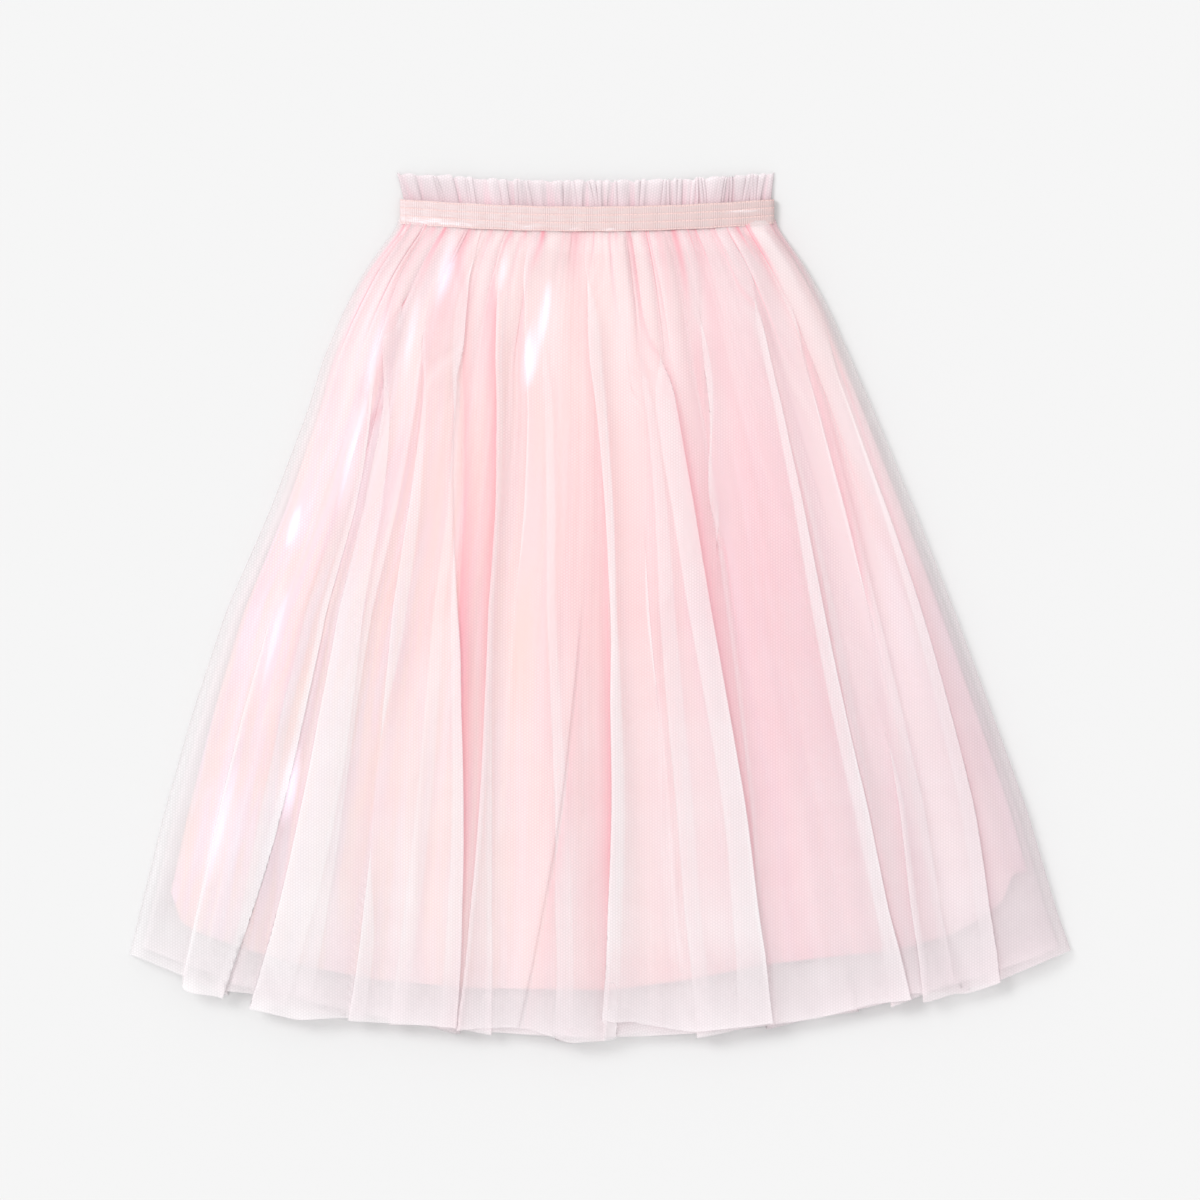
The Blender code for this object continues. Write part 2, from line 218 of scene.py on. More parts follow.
def arc_hem(x):
    """Height of the hidden layers' hem."""
    return HEM_MIDDLE + HEM_RADIUS - np.sqrt(HEM_RADIUS ** 2 - x * x)


for y in (200, 0, -224):
    print("the net is", np.round(np.subtract(*side_edges(y)[::-1])), "mm wide at height", y)

# %% [markdown]
# Net that is gathered into a narrow band has far more width at its hem than the place it lies on, so
# it falls into laps: the cloth runs forward, turns under at a free edge, runs back and goes forward
# again. Three layers lie there, and look paler than the single layer beside them. A cloth simulation
# gives laps at random places. Here each has its own row in a table, and a curve that moves the cloth
# sideways and up at once folds it over: a bell in height, and a larger bell sideways.

# %% Laps
FOLD_HEIGHTS = (240, 0, -268)
LAP_WIDTH = 0.56  # share of a fold's width that is taken up in its lap
LAP_FORMS = 0.14  # how far down the skirt a lap takes to form
LAP_DIES = 0.3    # and to die out, before its end
THINNED = 1.5     # hidden layers of a lap are marked by this much, to be drawn thinner

# Facing: its free edge faces right (+1) or left (-1). Turn: how far it turns under, 3 for a lap and
# under 1 for a soft fold. Then its edge's place across at the waist, at the middle and at the hem;
# the fold's width at the waist and at the hem; its height; how deep the valley beside it is, from 0
# to 1; how much lower than its neighbour its hem hangs; where it starts and ends, from 0 at the waist
# to 1 at the hem, and 1.3 if it is whole at the hem; and how far back from its edge its net is
# doubled at the hem.
Fold = namedtuple(
    "Fold", "facing turn waist middle hem waist_width hem_width height valley drop start end doubled",
    defaults=(0,))
TOP_FOLDS = [Fold(*row) for row in (
    (-1, 2.5, -130, -214, -277, 12, 18, 0.6, 0.1, 7, 0.45, 1.3, 24),
    (+1, 2.6, -121, -176, -250, 16, 26, 0.9, 0.4, 5, 0.06, 1.3, 22),
    (-1, 3, -116, -171, -229, 14, 88, 1.2, 0.2, 10, 0.05, 1.3, 62),
    (-1, 2.4, -104, -134, -164, 15, 70, 0.9, 0.2, 2, 0.06, 1.3, 50),
    (+1, 2.8, -79, -89, -95, 22, 40, 2.2, 1, -1, -0.02, 1.3, 40),
    (-1, 2.2, -62, -74, -92, 16, 18, 1.7, 0.9, 1, -0.02, 1.3),
    (-1, 1.8, -44, -54, -62, 18, 22, 1.5, 0.5, 0, -0.04, 0.62),
    (+1, 0.9, 0, -14, -54, 16, 30, 1.8, 0.7, 0, 0.4, 1.3),
    (-1, 3, -14, 3, 2, 24, 28, 2, 0.8, -14, 0, 1.3, 18),
    (+1, 1.6, 7, 33, 52, 14, 40, 1, 0.2, 0, 0.06, 0.77),
    (+1, 3, 26, 71, 112, 20, 84, 2.4, 0.85, -1, 0.1, 1.3, 92),
    (-1, 2.4, 54, 71, 80, 24, 24, 1.6, 0.5, 0, 0.05, 0.56),
    (+1, 2.6, 88, 146, 203, 24, 40, 1.5, 0.35, 4, 0.02, 1.3, 20),
    (+1, 1.8, 103, 172, 222, 14, 34, 1.8, 1, 0, 0.04, 0.67),
    (-1, 2.2, 100, 172, 212, 12, 28, 1.3, 0.3, 6, 0.6, 1.3),
    (+1, 2.6, 114, 209, 265, 14, 40, 1.3, 0.5, 2, 0.08, 1.3, 60),
)]

# The first layer of net has laps of its own, which show through as paler stripes.
INNER_FOLDS = [Fold(*row) for row in (
    (-1, 3, -122, -196, -252, 10, 34, 2, 0.2, 3, 0.15, 1.3),
    (+1, 2.4, -98, -150, -196, 10, 50, 2, 0.2, -3, 0.05, 1.3),
    (-1, 3, -80, -112, -140, 10, 36, 2.2, 0.2, 4, 0.08, 1.3),
    (+1, 2.2, -60, -70, -72, 10, 38, 2.2, 0.2, 2, 0.04, 1.3),
    (-1, 3, -40, -34, -36, 10, 44, 2, 0.2, -3, 0.06, 1.3),
    (+1, 2.4, -4, 8, 14, 10, 30, 2.2, 0.2, 3, 0.05, 1.3),
    (-1, 3, 16, 40, 62, 10, 50, 2.2, 0.2, 3, 0.1, 1.3),
    (-1, 2.4, 46, 84, 108, 10, 24, 2, 0.2, -2, 0.1, 1.3),
    (-1, 2.6, 84, 150, 196, 10, 34, 2, 0.2, 3, 0.2, 1.3),
    (+1, 2.4, 104, 186, 240, 10, 36, 2, 0.2, -2, 0.12, 1.3),
)]

# The hidden half of each tube lies on the table, with lower laps of the same kind.
BACK_FOLDS = [Fold(*row) for row in (
    (+1, 3, -108, -190, -244, 10, 36, 2, 0.2, 3, 0.1, 1.3),
    (-1, 3, -84, -136, -182, 10, 40, 2.4, 0.2, -3, 0.05, 1.3),
    (+1, 2.4, -52, -70, -92, 10, 36, 2, 0.2, 4, 0.08, 1.3),
    (-1, 3, -30, -34, -30, 10, 30, 2.4, 0.2, 2, 0.2, 1.3),
    (+1, 2.6, 6, 22, 40, 10, 42, 2.4, 0.2, -4, 0.04, 1.3),
    (-1, 3, 40, 82, 110, 10, 34, 2, 0.2, 3, 0.1, 1.3),
    (+1, 3, 72, 128, 172, 10, 40, 2.4, 0.2, 2, 0.05, 1.3),
    (-1, 2.4, 94, 184, 238, 10, 32, 2, 0.2, -3, 0.15, 1.3),
)]


def edge_line(fold, down):
    """A fold's place across the panel, from -1 to 1: a curve through its three given places."""
    across = []
    for x, y in zip((fold.waist, fold.middle, fold.hem), FOLD_HEIGHTS):
        left, right = side_edges(y)
        across.append((x - (left + right) / 2) / ((right - left) / 2))
    waist, middle, hem = across
    bend = 2 * (waist + hem) - 4 * middle
    return waist + (hem - waist) * down + bend * down * (down - 1)


def lap_up(folds, across, down, half):
    """What the laps do to each point: moves sideways and up, the hem's drop, and how much the point
    is in a valley, on a free edge, in the layers under a lap, or pressed flat by one."""
    shape = np.broadcast(across, down).shape
    sideways, up, drop, tuck, crest, under, flat = (np.zeros(shape) for _ in range(7))
    laid = []
    for n, fold in enumerate(folds):
        sway = 1 + 0.22 * np.sin(6 * down + 1.9 * n)
        width = LAP_WIDTH * sway * (fold.waist_width + (fold.hem_width - fold.waist_width) * down)
        shown = ease((down - fold.start) / LAP_FORMS)
        shown = shown * (1 - ease((down - fold.end + LAP_DIES) / LAP_DIES))
        lap = fold.turn * shown
        turn = 0.5 * np.arcsin(1 / np.maximum(lap, 1))
        reach = width / math.pi * (turn + lap * np.cos(turn) ** 2)
        edge = edge_line(fold, down) * half + 1.6 * np.sin(5.5 * down + 2.3 * n)
        along = (across * half - edge) * fold.facing + reach
        bell = np.where(np.abs(along) < width / 2, np.cos(math.pi * along / width) ** 2, 0)
        sideways += fold.facing * lap * width / math.pi * bell
        up += fold.height * bell * shown ** 2
        drop += fold.drop * bell * shown
        laid.append((edge, along / width, width, turn, lap, bell, shown))
    # Only now is each point's final place known, so what lies under an edge can be told.
    for n, (fold, (edge, part, width, turn, lap, bell, shown)) in enumerate(zip(folds, laid)):
        beyond = (across * half + sideways - edge) * fold.facing
        soft = np.where(beyond > 0, 3.5 + 6 * fold.valley, 2.5)
        soft = soft * (0.8 + 0.3 * np.sin(8 * down + n))
        fading = (0.75 + 0.25 * np.sin(5 * down + 1.3 * n)) * shown
        # Painted shade: tuck marks the valley beside a lap's edge, where the nets are painted a deeper
        # pink and drawn thicker.
        hollow = np.exp(-(np.abs(beyond) / soft) ** 1.4) * (part > 0.5)
        tuck = np.maximum(tuck, hollow * fold.valley * fading)
        on_edge = np.exp(-((part - turn / math.pi) * width / 0.7) ** 2)
        crest = np.maximum(crest, on_edge * ease(lap - 1) * fading)
        turned = ease((part - turn / math.pi) / 0.1) * ease(-beyond / 2)
        under = np.maximum(under, turned * ease(lap - 1))
        flat = np.maximum(flat, shown * np.maximum(ease(5 * bell), turned))
    return sideways, up, drop, tuck, crest, under, flat


def doubled_net(folds, x, down, middle, half):
    """How much a point lies where a lap's net is doubled: full at its edge, fading behind it."""
    share = np.zeros(np.broadcast(x, down).shape)
    for n, fold in enumerate(folds):
        if fold.doubled:
            behind = (middle + edge_line(fold, down) * half - x) * fold.facing
            reach = fold.doubled * (0.15 + 0.85 * down) * (1 + 0.15 * np.sin(7 * down + n))
            here = ease((behind + 3) / 3) * (1 - ease((behind / reach - 0.3) / 0.7))
            share = np.maximum(share, here * ease((down - fold.start - 0.1) / 0.5))
    return share


print("top laps:", len(TOP_FOLDS), " inner laps:", len(INNER_FOLDS))

# %% [markdown]
# Under the band the gathered cloth stands in soft drapes, with small tubes crushed between them. Each
# swells out sideways over the valleys beside it, so that a narrow valley shows between two and closes
# to a point further down; its darkness is partly the shape's own shade and partly painted shade. The
# small ones die out after two or three centimetres and the drapes after fifteen, no two at the same
# place. The satin inside is gathered with the net and gives the drapes most of their light and shade.
# Finer ripples run on towards the hem.

# %% Gathers and ripples
Gather = namedtuple("Gather", "count swell rise reach")
GATHERS = (Gather(9, 0.13, 3.4, 0.46), Gather(21, 0.15, 2.2, 0.2), Gather(47, 0.14, 0.7, 0.07))
GATHER_SEED = 4
SLIT_DEPTH = 1.15


def gather_up(across, down, half):
    """Moves sideways and up, and how deep a point lies, in the gathers below the band."""
    shape = np.broadcast(across, down).shape
    sideways, up, slit = (np.zeros(shape) for _ in range(3))
    for gather in GATHERS:
        drift = across + 0.03 * np.sin(9 * across + GATHER_SEED) * ease(down / 0.2)
        turn = (drift + 1) / 2 * gather.count + 0.6 * np.sin(5 * across + GATHER_SEED)
        turn = turn + 0.45 * np.sin(11 * across + 2 * GATHER_SEED + 0.1 * gather.count)
        size = 0.65 + 0.35 * np.sin(2.6 * turn + GATHER_SEED)
        reach = gather.reach * (1 + 0.35 * np.sin(1.1 * turn) + 0.25 * np.cos(2.9 * turn))
        fade = (1 - ease(down / reach)) * size
        phase = 2 * math.pi * turn
        sideways += gather.swell * 2 * half / gather.count * np.sin(phase) * fade
        up += gather.rise * fade * (0.5 + 0.5 * np.cos(phase))
        # The slit mark paints shade: the nets and the satin are painted a deeper pink in these
        # valleys.
        closing = 3 + 14 * np.clip(down / reach, 0, 1)
        slit = np.maximum(slit, SLIT_DEPTH * fade * (0.5 - 0.5 * np.cos(phase)) ** closing)
    return sideways, up, np.minimum(slit, 1)


def ripple_up(across, down, seed):
    """Fine soft ripples that fan out from the waist."""
    drift = 1.6 * np.sin(3 * down + seed) + 3 * np.sin(4 * across)
    fine = np.sin(math.pi * (61 * across + drift))
    broad = np.sin(math.pi * (23 * across + 1.2 * np.sin(2.2 * down + 2 * seed)))
    return 0.12 * fine * (1 - 0.6 * down) + 0.4 * broad * (0.3 + 0.7 * down)


print("gathers across the front:", [gather.count for gather in GATHERS])

# %% [markdown]
# All the cloth here closes on itself: a tube that lies flat, or a band joined into a ring. So one
# function turns rows of points into a mesh. It also maps the cloth, in real lengths along its run and
# its depth, so that a pattern follows the cloth however it is folded.

# %% Rings of cloth
UPWARDS, DOWNWARDS = (0, 1, 2, 3), (0, 3, 2, 1)  # a face's corners, so that it looks outwards


def cloth_ring(name, points, along, depth, attributes, rows_go):
    """Rows of points, each a closed ring, as a mesh with its map and attributes. There is one more
    place along than columns, for the map's seam, and one more depth than rows if rows close too."""
    rows, columns = points.shape[:2]
    row, column = np.arange(len(depth) - 1)[:, None], np.arange(columns)
    corners = [(row, column), (row, column + 1), (row + 1, column + 1), (row + 1, column)]
    corners = [np.broadcast_arrays(*corners[n]) for n in rows_go]
    faces = np.stack([r % rows * columns + c % columns for r, c in corners], axis=-1)
    mesh = bpy.data.meshes.new(name)
    mesh.from_pydata((points.reshape(-1, 3) * MM).tolist(), [], faces.reshape(-1, 4).tolist())
    uv = np.stack([np.stack([along[c], depth[r]], axis=-1) for r, c in corners], axis=-2) * MM
    mesh.uv_layers.new(name="Cloth").data.foreach_set("uv", uv.ravel().astype(np.float32))
    for title, values in attributes.items():
        kind, key = ("FLOAT_COLOR", "color") if values.ndim == 3 else ("FLOAT", "value")
        if kind == "FLOAT":
            values = np.broadcast_to(values, (rows, columns))
        stored = mesh.attributes.new(title, kind, "POINT").data
        stored.foreach_set(key, values.ravel().astype(np.float32))
    mesh.shade_smooth()
    return mesh


def run_of(ring):
    """How far each point of a closed ring is along it, and the whole run at the end."""
    steps = np.linalg.norm(np.diff(ring, axis=0, append=ring[:1]), axis=1)
    return np.concatenate([[0], np.cumsum(steps)])


print("a square of side 1 mm runs", run_of(np.array([(0, 0), (1, 0), (1, 1), (0, 1)]))[-1], "mm")

# %% [markdown]
# Every tube of cloth is one closed ring of columns: its front from left to right, then its back from
# right to left. The front of each tube lies over the whole pile inside it, and comes down at its
# sides in a soft round fold. Rows close up towards the waist, where the gathers need them.

# %% Laying a tube of cloth
# Its insets at the waist and below it; heights of its back and of its front at the sides; how far its
# middle puffs up; how wide its side folds are; its laps; its share of the gathers; points; its seed.
Tube = namedtuple(
    "Tube",
    "name waist_inset left_inset right_inset back_z front_z puff round_side front_folds back_folds"
    " gathers columns back_columns rows seed",
)
BAND_UNDERSIDE = 5.2  # the gathered layers go in under the band at about this height
TUCKED_IN = 3         # and reach this far up behind it
TUBE_ROOM = 0.6       # least room between the back and the front of a tube
HEM_SAG = 0.3         # share of its height that a hem drops, as nothing lies under it there
CLOSE_UP = 1.35       # more than 1 brings the rows closer together near the waist


def tube_edges(tube, y):
    """Left and right edges of a tube at a height on the skirt: inner tubes lie further in."""
    left, right = side_edges(y)
    grown = np.clip((WAIST_Y - y) / INSET_GROWS, 0, 1)
    return (left + tube.waist_inset + tube.left_inset * grown,
            right - tube.waist_inset - tube.right_inset * grown)


def underskirt_height(across, y):
    """Height of the satin inside the tubes of net, which lie on it."""
    broad = np.cos(math.pi * (7 * across + 0.5 * np.sin(2 + 3 * across)))
    shown = ease((WAIST_Y - y) / 70)
    return 2.2 * (1 - across ** 2) + 1.4 * (1 + broad) * shown * ease((1 - np.abs(across)) / 0.1)


def lay_side(tube, across, down, front, hem_of):
    """The front or back half of a tube: its points, and its tuck, crest, depth in the gathers, place
    from its left edge (0) to its right edge (1), and where its net is doubled."""
    folds = tube.front_folds if front else tube.back_folds
    band_x = (BAND_LEFT + BAND_RIGHT) / 2 + across * (BAND_RIGHT - BAND_LEFT) / 2
    top = waist_line(band_x) + TUCKED_IN
    edge = ease((1 - np.abs(across)) / 0.03)
    left, right = tube_edges(tube, arc_hem(HEM_HALF * across))
    middle, half = (left + right) / 2, (right - left) / 2
    sideways, _, drop, *_ = lap_up(folds, across, np.ones_like(across), half)
    hem = hem_of(middle + across * half + sideways * edge) - drop * edge
    y = top + (hem - top) * down
    left, right = tube_edges(tube, y)
    middle, half = (left + right) / 2, (right - left) / 2
    sideways, up, _, tuck, crest, under, flat = lap_up(folds, across, down, half)
    rim = np.pad(under, 1, mode="edge")  # a point beside one that shows isn't thinned
    under = np.minimum.reduce([under, rim[:-2, 1:-1], rim[2:, 1:-1], rim[1:-1, :-2], rim[1:-1, 2:]])
    up = up + ripple_up(across, down, tube.seed) * (1 - flat) + 0.5
    slit = np.zeros_like(up)
    if front:
        more, higher, slit = gather_up(across, down, half)
        sideways, up = sideways + more * tube.gathers, up + higher * tube.gathers
    x = middle + across * half + sideways * edge
    share = (across + 1) / 2 + 0 * up
    doubled = doubled_net(folds, x, down, middle, half) * (1 - under) - THINNED * under
    if not front:
        z = tube.back_z + 0.35 * up * edge
        return np.stack([x, y, z], axis=-1), tuck, crest, slit, share, doubled
    place = np.clip((x - middle) / half, -1, 1)  # layers of a lap share the height of their place
    rise = np.clip(np.minimum(x - left, right - x) / tube.round_side, 0, 1)
    crown = np.sqrt(1 - (1 - rise) ** 2)
    full = tube.front_z - tube.back_z - TUBE_ROOM + tube.puff * (1 - place ** 2)
    full = full + underskirt_height(place, y)
    out = ease((top - y) / 18)
    relief = 0.12 + 0.88 * ease((top - y - TUCKED_IN) / 6)
    start = BAND_UNDERSIDE + 0.12 * (tube.front_z - tube.back_z) + 0.8 * (1 - place ** 4)
    sag = 1 - HEM_SAG * ease((down - 0.9) / 0.1)
    z = tube.back_z + TUBE_ROOM + (full * out + up * relief) * crown * sag
    z = z + (1 - out) * crown * (start - tube.back_z - TUBE_ROOM)
    return np.stack([x, y, z], axis=-1), tuck, crest, slit, share, doubled


def make_tube(tube, hem_of, material):
    """A closed tube of cloth that lies flat, with the size and the area that it is cut to."""
    down = np.linspace(0, 1, tube.rows)[:, None] ** CLOSE_UP
    sides = [lay_side(tube, np.linspace(-1, 1, columns)[None, ::way], down, way > 0, hem_of)
             for way, columns in ((1, tube.columns), (-1, tube.back_columns))]
    points, tuck, crest, slit, share, doubled = (
        np.concatenate(pair, axis=1) for pair in zip(*sides))
    along = run_of(points[-1])
    height = float(np.mean(points[0, :, 1] - points[-1, :, 1]))
    mesh = cloth_ring(tube.name, points, along, -down[:, 0] * height, {
        "folds": np.stack([tuck, crest, slit, share], axis=-1), "doubled": doubled}, DOWNWARDS)
    mesh.materials.append(material)
    gathered = points[:tube.rows // 6]  # the gathers are fullest somewhere in the upper rows
    waist_run, hem_run = max(run_of(ring)[-1] for ring in gathered) * MM, along[-1] * MM
    length = np.linalg.norm(np.diff(points, axis=0), axis=2).sum(axis=0).mean() * MM
    area = (waist_run + hem_run) / 2 * length
    print(tube.name, "mm: waist runs", round(waist_run / MM), "hem", round(hem_run / MM), "length",
          round(length / MM), " cut, m2:", round(area, 3), " triangles", 2 * len(mesh.polygons))
    return placed(tube.name, mesh), (hem_run, length), area


# %% [markdown]
# Soft tulle is a nylon net with six-sided holes about 1 mm wide. Its threads are so thin that a
# layer hides only about a third of what is behind it, and layers add up to a pale bloom. The net is
# made with Alpha, which is its share of thread, and a six-sided pattern from three sets of bands at
# 60 degrees varies that share. Gathered net also bunches and thins along its length, and noise drawn
# out along the cloth gives those soft veils. In folds and gather slits the net is drawn thicker and
# painted a deeper pink: painted shade, for the light that bounces between pale dyed layers. The upper
# part is painted a little warmer, painted bounce light, and the lower right side greyer, painted
# shade where the pile slopes away from the sun. A free edge, where the net turns, shows more thread.

# %% Soft tulle net
MESH_WIDTH = 1.7 * MM     # the real cells are about 1 mm, too fine for the render's pixels
BANDS = 2 * math.pi / 20  # a Wave texture's scale is this divided by the pitch of its bands
LEAST_SHARE = 0.3         # thinner net than this gives the cleaned render dark specks
NET_SHARE = (0.26, 0.31)  # share of thread in a hole and on the threads
HEADING_SHARE = (0.36, 0.44)
HEM_TINT = "F8E2E8"


def cloth_sockets(tree):
    """What a cloth's finish is worked out from: its map, its spot on the skirt and that spot's parts,
    the three marks kept in its folds, and its place from the left edge to the right edge."""
    cloth = add(tree, "ShaderNodeUVMap", uv_map="Cloth").outputs["UV"]
    spot = add(tree, "ShaderNodeTexCoord").outputs["Object"]
    parts = add(tree, "ShaderNodeSeparateXYZ", {"Vector": spot}).outputs
    stored = add(tree, "ShaderNodeAttribute", attribute_name="folds").outputs
    marks = add(tree, "ShaderNodeSeparateColor", {"Color": stored["Color"]}).outputs
    return cloth, spot, parts, marks, stored["Alpha"]


def tulle(name, pale, warm_bounce, right, tuck_shade, thread_share, grain):
    """Soft nylon tulle. Matt, with a slight sheen: a veil on whatever is under it. Its colours are for
    the lower part, the upper part (painted bounce light), the lower right side (painted shade) and the
    tucks (painted shade)."""
    material, tree = new_material(name)
    cloth, spot, parts, (tuck, crest, slit), across = cloth_sockets(tree)
    height = parts["Y"]
    doubled = add(tree, "ShaderNodeAttribute", attribute_name="doubled").outputs["Fac"]
    bands = 0
    for turn in (0, 60, 120):
        turned = add(tree, "ShaderNodeMapping", {
            "Vector": spot, "Rotation": (0, 0, math.radians(turn + grain))})
        wave = add(tree, "ShaderNodeTexWave", {
            "Vector": turned, "Scale": BANDS / MESH_WIDTH}, bands_direction="X")
        bands = add(tree, "ShaderNodeMath", {0: bands, 1: wave.outputs["Fac"]}, operation="ADD")
    mottle = add(tree, "ShaderNodeTexNoise", {"Vector": cloth, "Scale": 26, "Detail": 1})
    drawn = add(tree, "ShaderNodeMapping", {"Vector": cloth, "Scale": (30, 1.6, 1)})
    bunched = add(tree, "ShaderNodeTexNoise", {"Vector": drawn, "Scale": 1, "Detail": 1.5})
    in_hole, on_thread = thread_share
    ranged = {}
    for use, value, start, end, least, most in (
        ("threads", bands, 0.6, 2.4, on_thread, in_hole),
        ("mottled", mottle.outputs["Fac"], 0.3, 0.7, 0.92, 1.08),
        ("veiled", bunched.outputs["Fac"], 0.38, 0.62, 0.88, 1.12),
        ("piled up", height, 0.1, -0.25, 1, 1.65),
        ("gathered", height, 0.08, 0.24, 1, 1.6),
        ("doubled", doubled, -THINNED, 1, 0.5, 1.22),
        ("above hem", height, -0.25, -0.16, 0.2, 1),
        ("shaded right side", across, 0.7, 0.95, 0, 1),
        ("low", height, 0.06, -0.08, 0, 1),
        ("high", height, -0.12, 0.2, 0, 1),
        ("at hem", height, -0.21, -0.25, 0, 0.25),
    ):
        ranged[use] = add(tree, "ShaderNodeMapRange", {
            "Value": value, "From Min": start, "From Max": end, "To Min": least, "To Max": most,
        })
    share = ranged["threads"]
    for use in ("mottled", "veiled", "piled up", "gathered", "doubled"):
        share = add(tree, "ShaderNodeMath", {0: share, 1: ranged[use]}, operation="MULTIPLY")
    # depth marks tucks and gather slits: the net there is drawn thicker and painted a deeper pink as
    # painted shade.
    deepest = add(tree, "ShaderNodeMath", {0: tuck, 1: slit}, operation="MAXIMUM")
    depth = add(tree, "ShaderNodeMath", {0: deepest, 1: ranged["above hem"]}, operation="MULTIPLY")
    for amount, bunching in ((crest, 0.05), (depth, 0.3)):
        share = add(tree, "ShaderNodeMath", {0: amount, 1: bunching, 2: share},
                    operation="MULTIPLY_ADD")
    share = add(tree, "ShaderNodeMath", {0: share, 1: LEAST_SHARE}, operation="MAXIMUM")
    # Painted shade: the lower right side turns greyer, where the pile slopes away from the sun.
    right_side_shade = add(tree, "ShaderNodeMath", {0: ranged["shaded right side"], 1: ranged["low"]},
                   operation="MULTIPLY")
    colour = dye(pale)
    # Painted light and shade: warmer towards the top for light bounced between dense layers, greyer on
    # the lower right, a deeper pink in tucks and slits.
    for amount, over in ((ranged["high"], warm_bounce), (right_side_shade, right), (ranged["at hem"], HEM_TINT),
                         (depth, tuck_shade)):
        colour = add(tree, "ShaderNodeMix", {0: amount, 6: colour, 7: dye(over)},
                     data_type="RGBA").outputs[2]
    surface = add(tree, "ShaderNodeBsdfPrincipled", {
        "Base Color": colour, "Alpha": share, "Roughness": 0.8, "Specular IOR Level": 0.2,
        "Sheen Weight": 0.12, "Sheen Roughness": 0.4})
    add(tree, "ShaderNodeOutputMaterial", {"Surface": surface})
    return material


top_tulle = tulle("Soft nylon tulle, pale pink", "F4F2F3", "F8F2F3", "F0E6E9", "F2ABB6", NET_SHARE, 0)
first_tulle = tulle(
    "Soft nylon tulle, first layer", "F5EFF1", "F8EDEE", "F0E4E8", "F2ABB6", NET_SHARE, 13)
print("net cells drawn", MESH_WIDTH / MM, "mm wide")

# %% [markdown]
# The satin of the underskirt has a film of iridescent shimmer. It is opaque and rather glossy, and
# its colour turns with the fold: lilac and peach on the left, a warm pink in the middle, a cooler
# pink on the right, darker towards the right edge as painted shade. Noise drawn out along the cloth
# breaks the colour into streaks, and the gather valleys are painted a deeper pink as painted shade.
# A few broad creases carry painted highlights for the window's light thrown back whole: a pale lilac
# colour that glows through emission, the brightest marks on the skirt. A short table gives their
# places.

# %% Shimmer satin
# Painted highlights on creases of the satin that catch the light: place across and height of the
# upper and the lower end, half width, and how bright.
Gleam = namedtuple("Gleam", "top_x top_y low_x low_y width bright")
GLEAMS = [Gleam(*row) for row in (
    (-94, 244, -107, 196, 6, 0.9), (-33, 216, -43, 160, 4.5, 0.9), (-40, 194, -50, 140, 6.5, 0.9),
    (-138, 200, -155, 132, 4.5, 0.6), (-150, 150, -171, 52, 5.5, 0.6), (-195, 70, -204, 38, 3.6, 0.6),
    (-196, -84, -207, -142, 6, 0.75), (-203, 26, -228, -70, 6, 0.4),
    (-236, -96, -258, -190, 7, 0.4), (-118, 206, -130, 140, 3.5, 0.4),
    (-60, 236, -66, 204, 3.5, 0.4),
)]
# And creases where the film turns to peach.
PEACHES = [Gleam(*row) for row in (
    (-182, -8, -209, -108, 6.5, 0.8), (-96, 60, -112, -60, 14, 0.3),
    (-50, 40, -56, -90, 16, 0.35), (-262, -100, -276, -186, 8, 0.5),
)]
# Colours from the left edge to the right edge, near the waist and near the hem, and the film's own:
# the satin's dyes, with painted shade in the darker stops near the right edge.
WAIST_DYES_AND_SHADE = (
    (0, "FBEEF0"), (0.1, "FDEAEA"), (0.26, "FFE8E2"), (0.38, "FDDBD6"), (0.47, "FDD0CB"),
    (0.56, "FFDCDA"), (0.66, "FBDBDB"), (0.75, "F7D2D7"), (0.82, "F0B8C2"), (0.88, "E6B5BE"),
    (0.94, "F0D6D6"), (1, "F8E4E2"))
HEM_DYES_AND_SHADE = (
    (0, "F6E6EC"), (0.1, "FBE0E0"), (0.18, "FFE0DA"), (0.25, "FFC9C0"), (0.39, "FFD9D5"),
    (0.47, "F5AAAE"), (0.54, "FABCBC"), (0.61, "F8B0B8"), (0.71, "F6AEC0"), (0.75, "E9829B"),
    (0.8, "E8879F"), (0.85, "EEB6C2"), (0.91, "F8DEE1"), (1, "DDB5C0"))
FILM_DYES = ((0.3, "F6B8D6"), (0.45, "FCC9B8"), (0.55, "F9C6DE"), (0.7, "F3E6FB"))
# Painted shade for the gather valleys, a peach for the film, and a painted highlight with its painted
# glow (emission) for the gleams.
VALLEY_SHADE, PEACH, GLEAM_HIGHLIGHT, GLOW = "EE9FB0", "FFC6AC", "F6EEFF", "F0E8FF"


def crease_share(tree, spot, creases):
    """How much a place on the skirt lies on one of these creases: a long soft spot for each."""
    share = 0
    for gleam in creases:
        across, along = gleam.top_x - gleam.low_x, gleam.top_y - gleam.low_y
        middle = (gleam.top_x + gleam.low_x) / 2, (gleam.top_y + gleam.low_y) / 2
        spotted = add(tree, "ShaderNodeMapping", {
            "Vector": spot, "Rotation": (0, 0, -math.atan2(across, along)),
            "Location": (middle[0] * MM, middle[1] * MM, 0),
            "Scale": (gleam.width * MM, math.hypot(across, along) / 2 * MM, 1),
        }, vector_type="TEXTURE")
        soft = add(tree, "ShaderNodeTexGradient", {"Vector": spotted}, gradient_type="SPHERICAL")
        lit = add(tree, "ShaderNodeMath", {0: soft.outputs["Fac"], 1: 1.5 * gleam.bright},
                  operation="MULTIPLY", use_clamp=True)
        share = add(tree, "ShaderNodeMath", {0: share, 1: lit}, operation="MAXIMUM")
    return share


